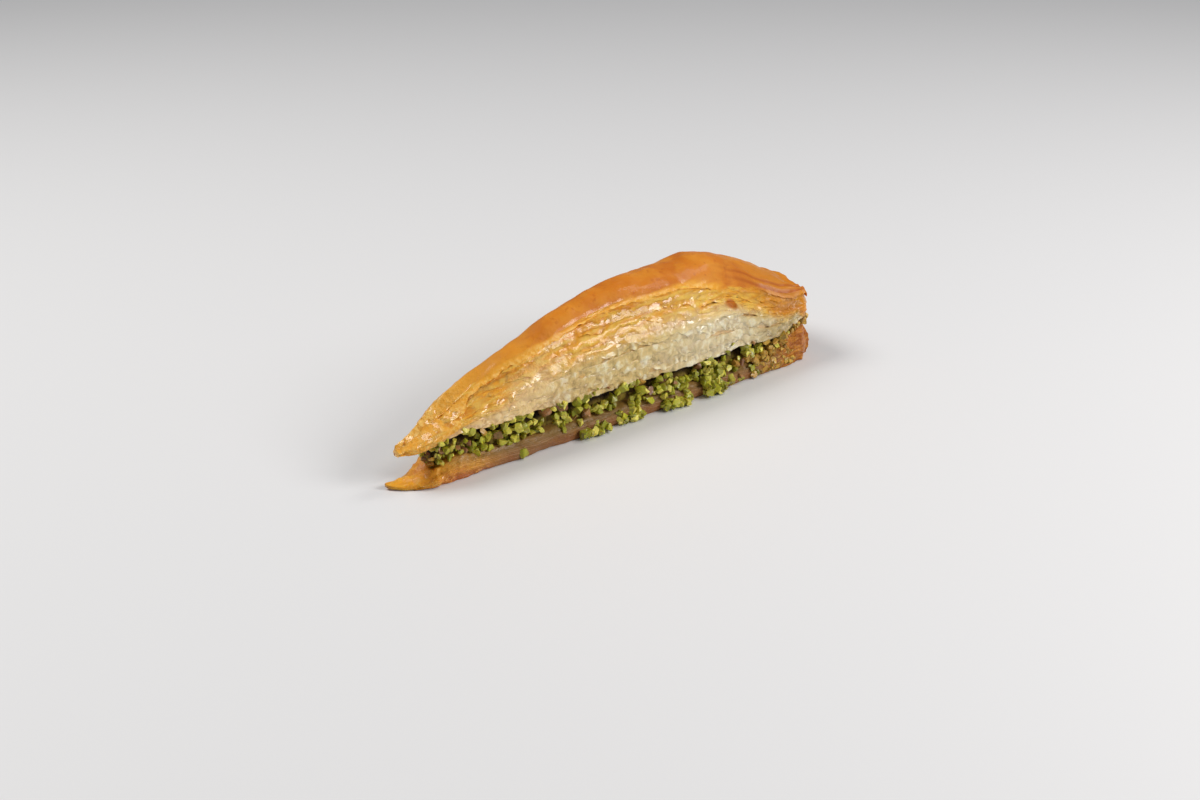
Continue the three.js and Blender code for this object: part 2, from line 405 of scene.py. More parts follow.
wet = 0.1 + 0.7 * glow * (1 - rise.between(0.3, 0.8)) + 0.15 * caramel * mottle.between(0.5, 0.6)
feed(tools, shader, colour, relief, depth=0.3, roughness=0.55 - 0.3 * patches, coat=wet)
base.data.materials.append(soaked)
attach(base, "root")
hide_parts("bottom_pastry")

# ------------------------------------------------------------------ bed of chopped pistachio
# A finger's breadth of coarsely chopped pistachio, bound with a little syrup. It was spread
# loose over the base leaves, so bits stand out of the cut sides and some have fallen off.
LID_UNDERSIDE = 13.1
LID_START = 2.5
LID_END = LENGTH + 2.3
FILLING_START = 12.5
FILLING_END = 167
HEART_INSET = 2.6


def lid_underside(s):
    """The lowest leaf sags to the nuts, and arches a little clear of them near the tip."""
    arch = 2.1 * bump(s, 23, 9) + 1.4 * bump(s, 48, 17) - 1.6 * (1 - smooth(5, 15, s))
    return LID_UNDERSIDE + arch + 0.8 * bump(s, 136, 3) - bump(s, 153, 8) + 3 * smooth(158, 168, s)


def cut_sides(s):
    """Where the lid's and the nuts' two cut sides stand. At the tip they close to a blade."""
    return -half_width(s) * mix(0.4, 1, smooth(1, 14, s)), half_width(s) * far_share(s, 1)


heart, along, across, up = block("nut_heart", along=220, across=24, layers=8)
s = mix(FILLING_START, FILLING_END, along)
flat = place(s, across * half_width(s), up * 8)
half = (half_width(s) - HEART_INSET - 1.6 * up) * far_share(s, across)
grit = 0.7 * lumps(flat, 3, 6) + 0.45 * lumps(flat, 1.5, 7)
z = mix(base_top(s) - 0.3, lid_underside(s) - 0.1, up)
rim = np.where(along > 0.9999, grit, 0)
set_points(heart, place(s + rim, across * half + np.sign(across) * np.abs(across) ** 6 * grit, z))
tint(heart, "rise", up)
soften(heart)
HEART_DARK = (0.09, 0.045, 0.01)
HEART_LIGHT = (0.27, 0.19, 0.03)
HEART_SHADE = (0.02, 0.008, 0.002)
dark_nut, tools, places, shader = finish("nut_heart", Roughness=0.6, Specular_IOR_Level=0.15)
colour = grain(tools, places, 2.2).between(0.35, 0.6).blend(HEART_DARK, HEART_LIGHT)
colour = attribute(tools, "rise").between(0.3, 0.6).blend(colour, HEART_SHADE)
feed(tools, shader, colour, grain(tools, places, 0.8), depth=0.4)
heart.data.materials.append(dark_nut)
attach(heart, "root")
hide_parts("pistachio_filling")

chance = np.random.default_rng(5)
KNIFE_CUTS = 9
SKIN_CUTS = (2, 7)
BIT_SHAPES = 14
ROW_STEP = 0.5
ROW_GAPS = (3.8, 4.2)
HOLE_DROP = 2.6
CRUMBS = 20


def chopped_bit(name):
    """One bit of chopped nut, about 1 across: a lump with a flat face wherever the knife went.
    Gives its points, its faces, and 1 for each point that still wears the nut's skin. Two of
    the flat faces lie along the skin."""
    bpy.ops.object.select_all(action="DESELECT")
    bpy.ops.mesh.primitive_ico_sphere_add(subdivisions=3, radius=0.75)
    bit, points = start_piece(name)
    seed = int(chance.integers(1000))
    points = points * (1 + 0.3 * lumps(points, 0.6, seed))[:, None]
    skin = np.ones(len(points))
    axes, _ = np.linalg.qr(chance.normal(size=(3, 3)))
    for number in range(KNIFE_CUTS):
        way = axes[number // 2] * (-1) ** number if number < 6 else chance.normal(size=3)
        way = way + chance.normal(0, 0.25, 3)
        way /= np.linalg.norm(way)
        past = points @ way - chance.uniform(0.26, 0.5)
        points = points - np.clip(past, 0, None)[:, None] * way
        skin = np.where(past > 0, number in SKIN_CUTS, skin)
    points = points * (1 + 0.14 * lumps(points, 0.25, seed + 1))[:, None]
    corners = np.array([list(face.vertices) for face in bit.data.polygons])
    bpy.data.objects.remove(bit)
    return points, corners, skin


def cut_path(inset, start, end, step, smoothing=2):
    """Places (s, u) and outward ways round the slice: -Y side, broad end, +Y side and tip."""
    s = np.linspace(start, end, 500)
    near, far = cut_sides(s)
    near, far = np.stack([s, near + inset], 1), np.stack([s, far - inset], 1)[::-1]
    u_end = np.linspace(near[-1, 1], far[0, 1], 60)[1:-1]
    u_tip = np.linspace(far[-1, 1], near[0, 1], 20)[1:-1]
    rim = np.stack([0 * u_end + end, u_end], 1)
    loop = np.concatenate([near, rim, far, np.stack([0 * u_tip + start, u_tip], 1)])
    loop = np.roll(loop, 10, axis=0)
    closed = np.concatenate([loop, loop[:1]])
    length = np.concatenate([[0], np.cumsum(np.linalg.norm(np.diff(closed, axis=0), axis=1))])
    count = int(length[-1] / step)
    even = np.linspace(0, length[-1], count, endpoint=False)
    loop = np.stack([np.interp(even, length, closed[:, k]) for k in (0, 1)], 1)
    reach = int(3 * smoothing / step)
    weights = np.exp(-0.5 * (np.arange(-reach, reach + 1) * step / smoothing) ** 2)
    weights /= weights.sum()
    loop = sum(w * np.roll(loop, k, axis=0) for w, k in zip(weights, range(-reach, reach + 1)))
    run = np.roll(loop, -1, axis=0) - np.roll(loop, 1, axis=0)
    run /= np.linalg.norm(run, axis=1)[:, None]
    return loop, np.stack([run[:, 1], -run[:, 0]], 1)


def join_bits(name, shapes, spots, sizes, colours):
    """Copies of the shapes at the spots, each turned at random, joined into one piece."""
    points, faces, tones, skins, count = [], [], [], [], 0
    for index, (spot, size, colour) in enumerate(zip(spots, sizes, colours)):
        shape_points, shape_faces, skin = shapes[index % len(shapes)]
        turn, _ = np.linalg.qr(chance.normal(size=(3, 3)))
        turn *= np.sign(np.linalg.det(turn))
        bit = shape_points * size * chance.uniform(0.8, 1.25, 3) @ turn.T + spot
        bit[:, 2] += max(0.05 - bit[:, 2].min(), 0)
        points.append(bit)
        faces.append(shape_faces + count)
        tones.append(np.full(len(shape_points), colour))
        skins.append(skin)
        count += len(shape_points)
    mesh = bpy.data.meshes.new(name)
    mesh.from_pydata(np.concatenate(points) * MM, [], np.concatenate(faces).tolist())
    piece = bpy.data.objects.new(name, mesh)
    bpy.context.collection.objects.link(piece)
    tint(piece, "tone", np.concatenate(tones))
    tint(piece, "skin", np.concatenate(skins))
    return piece


shapes = [chopped_bit("bit%d" % number) for number in range(BIT_SHAPES)]
path, ways = cut_path(0, FILLING_START, LENGTH, ROW_STEP)
spots, sizes = [], []

# The wall of bits at the cut: the row, from the base (0) to the lid (2), how deep it stands in
# the cut, and its share of places. Holes under the lid, at distances from the tip and with half
# their lengths, show the dark heart.
ROWS = [(-0.6, -0.4, 0.5), (0, 0.3, 1), (1, 0.4, 0.9), (2, 0.8, 0.9), (2.2, -0.2, 0.4),
        (0, 2.3, 0.6), (1, 2.3, 0.8), (2, 3, 0.7)]
HOLES = [(20.5, 1.6), (27.3, 1), (51, 1), (63, 2.4), (74.5, 5), (95.5, 4), (110, 4.6), (126.5, 3),
         (136.5, 1.8)]
for number, (row, depth, share) in enumerate(ROWS):
    for start in np.arange(0, len(path), ROW_GAPS[number % 2]):
        step = int(start + chance.uniform(0, 4.2)) % len(path)
        seat, side = path[step]
        low, high = base_top(seat) + 0.8, lid_underside(seat) - 1.3
        crowd = 0.8 + 0.9 * float(lumps([seat, side, 0], (7, 7, 9), 31 + number))
        if row < 0:
            crowd = crowd * float(smooth(50, 80, seat) - smooth(122, 130, seat))
        hole = max(abs(seat + 5 * (side > 0) - middle) < half for middle, half in HOLES)
        high = high - HOLE_DROP * hole * (row == 1)
        crowd = crowd * (1 - hole * (row > 1))
        if chance.uniform() > share * crowd:
            continue
        s, u = path[step] - ways[step] * (depth + chance.uniform(-0.4, 0.4))
        z = mix(low, high, (row + chance.uniform(-0.3, 0.3)) / 2)
        spots.append(place(s + chance.uniform(-0.6, 0.6), u, z))
        sizes.append((1.6 + 1.6 * chance.uniform(0, 1) ** 1.2) * mix(0.7, 1, float(smooth(16, 32, s))))

# Bits that fell beside the base: distance from the tip, length and height of the heap, how far
# it reaches out (below 0, they stick in the base's side) and the number of bits.
HEAPS = [(43, 2, 0.6, 0.8, 2), (71, 11, 2.8, 2.6, 26), (86, 10, 5, 1.4, 22),
         (102, 3.5, 8.5, 1.4, 15), (105.5, 10, 3, 2.4, 24), (110.5, 3, 8, 1.6, 15),
         (122.5, 9, 10, 2.4, 60), (134, 7, 8, 0.2, 6), (146, 13, 8, -0.1, 30),
         (157, 13, 10, -0.35, 34)]
for middle, length, height, reach, number in HEAPS:
    for _ in range(number):
        s = middle + length * chance.uniform(-0.5, 0.5)
        out = chance.uniform(0, 1) ** 1.3 * reach
        size = 1.4 + 1.7 * chance.uniform(0, 1) ** 1.3
        z = max(size * 0.42, chance.uniform(0.3, height) * (1 - out / (abs(reach) + 1.2)))
        lean = 0.7 * min(z / BASE_HEIGHT, 1) ** 2
        spots.append(place(s, -half_width(s) - FOOT - 0.3 - out + lean, z))
        sizes.append(size)
for s in np.arange(28, 166, 7.5):
    size = chance.uniform(1.8, 2.8)
    spots.append(place(s + chance.uniform(-3, 3), half_width(s) + FOOT + 0.5, chance.uniform(1.3, 5)))
    sizes.append(size)

# Fine crumbs that the knife dragged up over the lowest leaves.
for _ in range(CRUMBS):
    s = chance.uniform(30, 165)
    side = 1 if chance.uniform() > 0.5 else -1
    z = lid_underside(s) + chance.uniform(0, 1) ** 3 * 7
    spots.append(place(s, side * (half_width(s) + 0.5), z))
    sizes.append(chance.uniform(0.7, 1.5))

spots, sizes = np.array(spots), np.array(sizes)
NUT_KINDS = [
    ("pistachio_green", (0.24, 0.24, 0.006), (0.52, 0.5, 0.02)),
    ("pistachio_yellow", (0.5, 0.46, 0.025), (0.9, 0.8, 0.14)),
    ("pistachio_skin", (0.14, 0.04, 0.01), (0.4, 0.19, 0.06)),
    ("pistachio_soaked", (0.34, 0.15, 0.01), (0.72, 0.45, 0.06)),
]
SOAKED = 3
HUSK_BROWN = (0.16, 0.1, 0.01)
SKIN_BROWN = (0.15, 0.1, 0.01)

# Syrup soaked the nuts near the broad end, and most of all at its -Y corner.
seat, side, rise = spots[:, 0] + LENGTH / 2, spots[:, 1], spots[:, 2]
soaking = smooth(130, 148, seat) * (1 - 0.9 * smooth(7, 10, rise) * (1 - smooth(147, 153, seat)))
soaking = soaking * mix(1, 0.5, smooth(-14, -2, side))
draw = chance.uniform(0, 1, len(spots)) * mix(0.88, 1, smooth(3, 5, rise))
skins = 0.08 * bump(seat, 14, 8)
shares = [mix(0.55 - skins, 0, soaking), mix(0.34, 0.04, soaking), mix(0.08 + skins, 0, soaking)]
kinds = (draw > np.cumsum(shares, axis=0)).sum(axis=0)
kinds[(seat > 162) & (side < -12)] = SOAKED
sizes = sizes * mix(1, 0.85, soaking)
for number, (name, dark, light) in enumerate(NUT_KINDS):
    mine = kinds == number
    nuts = join_bits(name, shapes, spots[mine], sizes[mine], chance.uniform(0, 1, mine.sum()))
    soften(nuts, 30)
    nut, tools, places, shader = finish(
        name, Coat_Weight=0.3, Coat_Roughness=0.15, Subsurface_Weight=0.15, Subsurface_Scale=0.001
    )
    fine = grain(tools, places, 0.8, 3)
    colour = attribute(tools, "tone").blend(dark, light)
    colour = (fine.between(0.52, 0.72) * 0.4).blend(colour, light)
    colour = (grain(tools, places, 1.1).between(0.52, 0.7) * 0.45).blend(colour, HUSK_BROWN)
    colour = (attribute(tools, "skin") * 0.55).blend(colour, SKIN_BROWN)
    feed(tools, shader, colour, fine, depth=0.2, roughness=0.35 + 0.35 * fine)
    nuts.data.materials.append(nut)
    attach(nuts, "root")
    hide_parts("pistachio_filling")

# ------------------------------------------------------------------ puffed leaves
# Some forty buttered leaves that puffed up in the oven. On the cut sides their edges sag over
# each other like wet paper: pale and crumpled low down, crisp and golden towards the crust.
# The same leaves run round the broad end, where the tray's rim browned them.
LEAF_STEP = 0.58
LEAF_BEND = 0.42
SHOULDER_INSET = 7
PALE_LEAVES = 6
PALE_THICKNESS = 0.25
GOLDEN_LEAVES = 7
GOLDEN_THICKNESS = 0.3
BLISTER_SEAT = 134
BLISTER_LEVEL = 0.69


def crest_height(s):
    """The lid's highest line: it swells from the tip, and sinks to the broad end."""
    rise = (s / 120) ** 0.6
    fall = 1 - 0.71 * np.clip((s - 115) / (LENGTH - 115), 0, 1) ** 1.7
    knolls = 4.7 * bump(s, 74, 24) + bump(s, 97, 12) + 0.6 * bump(s, 132, 9) - 0.6 * bump(s, 156, 12)
    knolls = knolls + 0.8 * bump(s, 88, 8) - 0.9 * bump(s, 121, 6)
    sunk = 5.2 * (1 - smooth(3, 36, s)) - 1.9 * (1 - smooth(2, 9, s))
    return 15.2 + 29 * rise * fall + knolls - sunk


def shoulder_height(s, u):
    """The height of the crust's edge over the cut sides."""
    drop = 0.3 + 4 * bump(s, 80, 26) + 8.5 * bump(s, 142, 32) - 2.4 * smooth(160, LENGTH, s)
    drop = drop + 2 * smooth(-2, 2, u) + 1.6 * (1 - smooth(20, 60, s))
    return np.maximum(crest_height(s) - drop, mix(lid_underside(s), crest_height(s), 0.6))


def shoulder_inset(s, side):
    """How far the crust's edge lies inside the cut side. Towards the tip, the ridge leans to +Y."""
    share = np.where(side > 0, mix(0.1, 0.52, smooth(15, 55, s)), mix(1.05, 0.52, smooth(12, 60, s)))
    near, far = cut_sides(s)
    inset = np.minimum(SHOULDER_INSET, np.where(side > 0, far, -near) * share)
    return inset * (1 - 0.7 * smooth(150, 168, s))


def lid_sides(s, share, setback):
    """Where the lid's two cut sides stand, with a share of the crust's inset and a setback."""
    near, far = cut_sides(s)
    near = near + share * shoulder_inset(s, -1) + setback
    far = far - share * shoulder_inset(s, 1) - setback
    return near, np.maximum(far, near + 0.5)


def lid_top(s, u):
    """The top leaf: the shoulders' height at the edges, rounded up to the crest between them."""
    near, far = lid_sides(s, 1, 0)
    share = np.clip(np.abs(2 * u - near - far) / (far - near), 0, 1)
    dip = 1.5 * bump(u, -11, 6) * smooth(156, 170, s)
    roundness = 1 - share ** mix(1.5, 2.4, smooth(20, 70, s))
    return mix(shoulder_height(s, u), crest_height(s), roundness) - dip


def gilding(s):
    """How far up the cut side, as a share of its height, the leaves turn golden."""
    middle = 0.62 + 0.05 * bump(s, 115, 20) - 0.03 * bump(s, 55, 12) + 0.08 * bump(s, 133, 7)
    middle = middle - 0.35 * (1 - smooth(20, 66, s)) - 0.6 * (1 - smooth(6, 20, s))
    return middle - 0.22 * smooth(146, 162, s) - 0.5 * smooth(164, 170, s)


path, ways = cut_path(0.3, LID_START, LID_END, LEAF_STEP)
on_side = np.abs(ways[:, 1])
path_inset = shoulder_inset(path[:, 0], path[:, 1]) * on_side**2 + 1.2 * (1 - on_side**2)
path_top = lid_top(path[:, 0] - ways[:, 0] * path_inset, path[:, 1] - ways[:, 1] * path_inset)
path_low = lid_underside(path[:, 0])
path_flat = place(path[:, 0], path[:, 1], 0 * path_low)


def face(level):
    """The cut face at a share of its height: places (s, u), and heights z."""
    spots = path - ways * (path_inset * smooth(LEAF_BEND, 1, level))[:, None]
    return spots, mix(path_low, path_top, level)


def leaf(name, level, droop, lip, seed, crumple, folds, rows):
    """One leaf's edge round the slice. It comes out of the face at a level, turns down over the
    leaves below for a share droop of the height, and stands off by about lip millimetres."""
    bpy.ops.object.select_all(action="DESELECT")
    bpy.ops.mesh.primitive_grid_add(x_subdivisions=len(path), y_subdivisions=rows, size=1)
    piece, points = start_piece(name)
    step = np.rint((points[:, 0] + 0.5) * len(path)).astype(int) % len(path)
    down = points[:, 1] + 0.5
    wander = 0.045 * lumps(path_flat, 34, seed) + 0.02 * lumps(path_flat, 9, seed + 1)
    torn = 0.5 * lumps(path_flat, 14, seed + 2) + 0.25 * lumps(path_flat, 4, seed + 3)
    torn = torn + 0.15 * lumps(path_flat, 1.5, seed + 4)
    whole = smooth(-0.45, 0.05, lumps(path_flat, 21, seed + 5))
    hang = droop * (1 + torn) * mix(0.45, 1, whole)
    flare = lip * np.clip(0.8 + 0.8 * lumps(path_flat, 13, seed + 6), 0.15, 1.7) * mix(0.2, 1, whole)
    flare = flare * (1 - 0.75 * smooth(150, 164, path[:, 0]))
    curl = smooth(-0.3, 0.4, lumps(path_flat, 11, seed + 7))
    on_tip = np.clip(-ways[:, 0], 0, 1)
    ragged = on_tip * (mix(-1.2, 1.5, level) + 1.5 * lumps(path_flat, 2, seed + 10))
    points_out = np.empty((len(points), 3))
    gild, scorch, relief = np.empty((3, len(points)))
    for row in range(rows + 1):
        share = row / rows
        mine = np.abs(down - share) < 0.5 / rows
        fold = np.clip((share - 0.2) / 0.8, 0, 1)
        at = np.clip(level + wander - hang * fold**1.15, -0.02 + 0.02 * torn, 1)
        spots, z = face(at)
        curve = mix(math.sin(math.pi * min(fold, 0.85)), fold, curl)
        stand = mix(-1.4, 0, min(share / 0.2, 1)) + flare * curve
        body = place(spots[:, 0], spots[:, 1], z)
        dent = lumps(path_flat, 4, 51)
        blister = bump(path[:, 0], BLISTER_SEAT + dent, 3.1) * (ways[:, 1] < 0)
        blister = blister * bump(at, BLISTER_LEVEL + 0.02 * dent, 0.07)
        rough = 0.6 * lumps(body, (3, 3, 3), seed + 8) + 0.45 * lumps(body, (1.1, 1.1, 1.2), seed + 9)
        pleats = 0.5 - 2 * np.abs(lumps(body, (2.4, 2.4, 5.5), seed // 10))
        waves = crumple * rough + folds * pleats * mix(0.5, 2, smooth(95, 118, path[:, 0]))
        stand = stand + fold * waves + 0.7 * blister
        spots = spots + ways * (stand * mix(0.35, 1, smooth(4, 30, path[:, 0])))[:, None]
        ring = place(spots[:, 0] + ragged, spots[:, 1], z)
        points_out[mine] = ring[step[mine]]
        gild[mine] = (at - gilding(path[:, 0]) * on_side**2)[step[mine]]
        scorch[mine] = blister[step[mine]]
        relief[mine] = (0.5 + 0.7 * waves)[step[mine]]
    set_points(piece, points_out)
    tint(piece, "gild", gild)
    tint(piece, "edge", down)
    tint(piece, "scorch", scorch)
    tint(piece, "relief", relief)
    tint(piece, "seat", path[step, 0])
    tint(piece, "tone", 0.5 + 0.5 * lumps(path_flat, 24, seed + 11)[step])
    return piece


def thicken(piece, thickness, offset):
    """Gives a sheet its thickness: half to each side at offset 0, and all below at offset -1."""
    solid = piece.modifiers.new("thickness", "SOLIDIFY")
    solid.thickness = thickness * MM
    solid.offset = offset
    select_only([piece])
    bpy.ops.object.modifier_apply(modifier=solid.name)


def join_leaves(name, leaves, thickness):
    """Joins leaves, closes each round the tip, and gives them their thickness."""
    select_only(leaves)
    bpy.ops.object.join()
    piece = bpy.context.object
    piece.name = piece.data.name = name
    bpy.ops.object.mode_set(mode="EDIT")
    bpy.ops.mesh.select_all(action="SELECT")
    bpy.ops.mesh.remove_doubles(threshold=0.00001)
    bpy.ops.object.mode_set(mode="OBJECT")
    thicken(piece, thickness, offset=0)
    soften(piece)
    return piece


pale = [
    leaf("pale%d" % i, level=mix(0.07, 0.64, i / (PALE_LEAVES - 1)), droop=0.19, lip=0.25,
         seed=40 + 20 * i, crumple=0.95, folds=0.28, rows=11)
    for i in range(PALE_LEAVES)
]
golden = [
    leaf("golden%d" % i, level=mix(0.62, 1, i / (GOLDEN_LEAVES - 1)), droop=0.14, lip=0.7,
         seed=340 + 20 * i, crumple=0.45, folds=0.1, rows=9)
    for i in range(GOLDEN_LEAVES)
]
pale_leaves = join_leaves("pale_leaves", pale, PALE_THICKNESS)
golden_leaves = join_leaves("golden_leaves", golden, GOLDEN_THICKNESS)

CORE_LINES = 14
CORE_INSET = 0.5
core, along, across, up = block("leaf_core", along=200, across=24, layers=14)
s = mix(LID_START + 1, LID_END - 1.2, along)
near, far = lid_sides(s, smooth(LEAF_BEND, 1, up), CORE_INSET)
u = mix(near, far, (across + 1) / 2)
flat = place(s, u, up * 20)
layered = 0.5 * np.sin(2 * math.pi * CORE_LINES * up) + 0.5 * lumps(flat, 3, 9)
out = layered * np.sign(across) * np.abs(across) ** 8
z = mix(lid_underside(s) + 0.1, lid_top(s, u) - 0.8, up)
set_points(core, place(s, u + out * smooth(6, 20, s), z))
tint(core, "gild", up - gilding(s))
tint(core, "edge", 0 * up)
tint(core, "scorch", 0 * up)
tint(core, "relief", 0.3 + 0 * up)
tint(core, "seat", s)
tint(core, "tone", 0.5 + 0 * up)
soften(core)

PALE_HOLLOW_SHADE = (0.42, 0.28, 0.09)
PALE_SIDE = (0.78, 0.52, 0.2)
PALE_RIDGE_HIGHLIGHT = (1, 0.84, 0.52)
PALE_MIDDLE = (0.9, 0.76, 0.52)
PALE_TIP = (1, 0.55, 0.2)
GOLD_DARK = (0.86, 0.34, 0.015)
GOLD_LIGHT = (0.98, 0.53, 0.08)
GOLD_RIDGE_HIGHLIGHT = (1, 0.68, 0.22)
ROOT_SYRUP_AND_SHADE = (0.72, 0.32, 0.04)
GOLD_GLARE_PAINT = (1, 0.64, 0.28)
TIP_DARK = (1, 0.36, 0.025)
TIP_LIGHT = (1, 0.5, 0.08)
AMBER_DARK = (0.78, 0.24, 0.005)
AMBER_LIGHT = (0.9, 0.4, 0.03)
END_BROWN = (0.53, 0.15, 0.003)
UNDER_CRUST = (0.78, 0.29, 0.012)
BLISTER_BROWN = (0.5, 0.125, 0.001)
leaves_finish, tools, places, shader = finish(
    "pastry_leaves", Coat_Roughness=0.12, Specular_IOR_Level=0.2,
    Subsurface_Weight=0.35, Subsurface_Scale=0.002, Subsurface_Radius=(1, 0.7, 0.4),
)

# gild is the height over the line where the leaves turn golden, edge runs from 0 where a leaf
# comes out to 1 at its lip, tone varies along each leaf, and seat is the distance from the tip.
gild = attribute(tools, "gild")
edge = attribute(tools, "edge")
tone = attribute(tools, "tone")
wide = grain(tools, places, 14, 3)
mottle = grain(tools, places, 3.5, 4)
fine = grain(tools, places, 1, 4)
streaks = grain(tools, places, 1.5, 3, (0.14, 1, 1))
seat = attribute(tools, "seat")
height = gild + 0.16 * (mottle - 0.5) + 0.14 * (wide - 0.5) + 0.1 * (streaks - 0.5)
# Painted light and shade that follow the leaves' relief, mixed with noise: the hollows get painted
# shade and the ridges a painted highlight.
relief_light_and_shade = attribute(tools, "relief") + 0.8 * (mottle - 0.5) + 0.5 * (fine - 0.5)
pale_tint = relief_light_and_shade.between(0, 0.55).blend(PALE_HOLLOW_SHADE, PALE_SIDE)
pale_tint = relief_light_and_shade.between(0.5, 0.95).blend(pale_tint, PALE_RIDGE_HIGHLIGHT)
pale_tint = (seat.between(85, 125) * 0.4).blend(pale_tint, PALE_MIDDLE)
pale_tint = ((1 - seat.between(25, 80)) * 0.7).blend(pale_tint, PALE_TIP)
# From 136 to 150 mm from the tip, the pale leaves are darkened towards the hollows' painted shade
# colour.
dull = seat.between(136, 150) * (0.3 + 0.5 * mottle.between(0.38, 0.52))
pale_tint = dull.blend(pale_tint, PALE_HOLLOW_SHADE)
gold = streaks.between(0.36, 0.64).blend(GOLD_DARK, GOLD_LIGHT)
# Painted highlight on the golden leaves' ridges.
gold = (relief_light_and_shade.between(0.55, 1) * 0.4).blend(gold, GOLD_RIDGE_HIGHLIGHT)
yellow = streaks.between(0.4, 0.6).blend(TIP_DARK, TIP_LIGHT)
gold = ((1 - seat.between(45, 90)) * 0.85).blend(gold, yellow)
amber = streaks.between(0.36, 0.64).blend(AMBER_DARK, AMBER_LIGHT)
colour = height.between(-0.2, 0.1).blend(pale_tint, gold)
ambered = height.between(0.05, 0.35) * tone.between(0.25, 0.75) * seat.between(50, 90)
colour = ambered.blend(colour, amber)
browned = seat.between(140, 160) * height.between(-0.1, 0.2)
colour = (0.9 * browned).blend(colour, END_BROWN)
sheltered = seat.between(118, 145) * height.between(0.12, 0.4)
colour = (0.6 * sheltered).blend(colour, UNDER_CRUST)
# Darker where each leaf comes out from under the lip above: partly syrup, partly painted shade.
colour = ((1 - edge.between(0.05, 0.35)) * 0.3).blend(colour, ROOT_SYRUP_AND_SHADE)
# Painted highlight: a pale gold glare painted on the lower golden leaves some 40 to 55 mm from the tip.
painted_glare = seat.between(36, 44) * (1 - seat.between(52, 60)) * (1 - height.between(0.05, 0.4))
colour = (0.65 * painted_glare).blend(colour, GOLD_GLARE_PAINT)
scorch = attribute(tools, "scorch").between(0.1, 0.75)
colour = scorch.blend(colour, BLISTER_BROWN)
flaky = 1 - seat.between(30, 80)
dry = seat.between(40, 50) * (1 - seat.between(66, 80))
wet = (grain(tools, places, 3.2, 3, (0.25, 1, 1)) + 0.08 * flaky - 0.1 * dry).between(0.53, 0.61)
relief = (fine * (0.7 + 0.3 * flaky) + mottle) * (1 - 0.75 * wet)
relief = relief + streaks * (gild.between(-0.1, 0.1) + 0.6 * flaky)
paleness = 1 - height.between(-0.25, 0)
gloss = 0.4 + 0.5 * wet + 0.4 * seat.between(90, 120) * paleness
gloss = gloss * (1 - scorch) * (1 - 0.8 * browned)
feed(tools, shader, colour, relief, depth=0.4, roughness=0.5 - 0.3 * mottle - 0.12 * flaky, coat=gloss)
for piece in (pale_leaves, golden_leaves, core):
    piece.data.materials.append(leaves_finish)
    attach(piece, "root")
    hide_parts("top_pastry")

# ------------------------------------------------------------------ crust
# The top leaves, brushed with butter and baked to a glossy orange brown skin. It lies over the
# puffed leaves in long soft waves, breaks off raggedly along the cut sides, and hangs over the
# broad end in a short torn lip. Two creases run from the crest into the -Y corner.
END_FOLD = 0.965
TIP_FOLD = 0.03
SIDE_FOLD = 0.8
CRUST_THICKNESS = 0.35
CREASES = ((0.76, 0.6), (0.64, 0.45))
CREASE_WIDTH = 0.035
bpy.ops.object.select_all(action="DESELECT")
bpy.ops.mesh.primitive_grid_add(x_subdivisions=320, y_subdivisions=136, size=1)
crust, points = start_piece("crust")
along, across = points[:, 0] + 0.5, 2 * points[:, 1]
end_over = np.clip((along - END_FOLD) / (1 - END_FOLD), 0, 1)
tip_over = np.clip((TIP_FOLD - along) / TIP_FOLD, 0, 1)
run = np.clip((along - TIP_FOLD) / (END_FOLD - TIP_FOLD), 0, 1)
s = mix(LID_START, LID_END - 0.8, run**1.15)
over = np.clip((np.abs(across) - SIDE_FOLD) / (1 - SIDE_FOLD), 0, 1)
near, far = lid_sides(s, 1, 0)
u = mix(near, far, (np.clip(across / SIDE_FOLD, -1, 1) + 1) / 2)
flat = place(s, u, 0 * s)
torn = 0.9 * lumps(flat, 11, 21) + 0.6 * lumps(flat, 4, 22) + 0.35 * lumps(flat, 1.6, 28)
height = lid_top(s, u) - lid_underside(s)
hang = np.maximum(1.6 + 1.3 * torn, 0.3)
wrap = (1 - smooth(10, 30, s)) * mix(0.6, 1, 1 - smooth(8, 16, s))
hang = np.minimum(hang, height) + (height + torn * smooth(6, 14, s) - hang) * wrap * (across < 0)
end_torn = 1.8 * lumps(flat, (99, 8, 9), 41) + 1.1 * lumps(flat, (99, 3, 9), 42)
end_torn = end_torn + 0.6 * lumps(flat, 1.1, 38)
end_hang = np.maximum(2.1 + 0.6 * end_torn, 0.6)
z = lid_top(s, u) + CRUST_THICKNESS + 0.12 * lumps(flat, 3, 24) + 0.3 * smooth(158, 170, s)
nubs = 0.4 * lumps(flat, 1.6, 26) + 0.28 * lumps(flat, 0.9, 37)
z = z + nubs * (1 - smooth(8, 40, s)) * mix(0.3, 1, smooth(3, 9, s)) * (1 - 0.85 * smooth(0, 0.4, over))
waves = 0.7 * lumps(flat, (14, 9, 9), 23) + 0.3 * lumps(flat, (6, 5, 9), 27)
waves = waves + 0.15 * lumps(flat, (7, 1.7, 9), 30) + 0.13 * lumps(flat, (4, 2.6, 9), 47)
z = z + waves * (1 - over) * smooth(10, 40, s)
end_drop = (1 - np.cos(end_over * math.pi / 2)) * end_hang + smooth(0.2, 1, tip_over) * 0.9 * height
side_drop = over**1.2 * hang
drop = np.hypot(side_drop, end_drop)
near_edge, far_edge = lid_sides(s, smooth(LEAF_BEND, 1, 1 - side_drop / height), 0)
u = u + np.where(across < 0, near_edge - near, far_edge - far) * (over > 0)
body = place(s, u, z - drop)
flakes = 0.45 * lumps(body, (3, 2.2, 1.4), 34) + 0.35 * lumps(body, (1.1, 1, 0.8), 35)
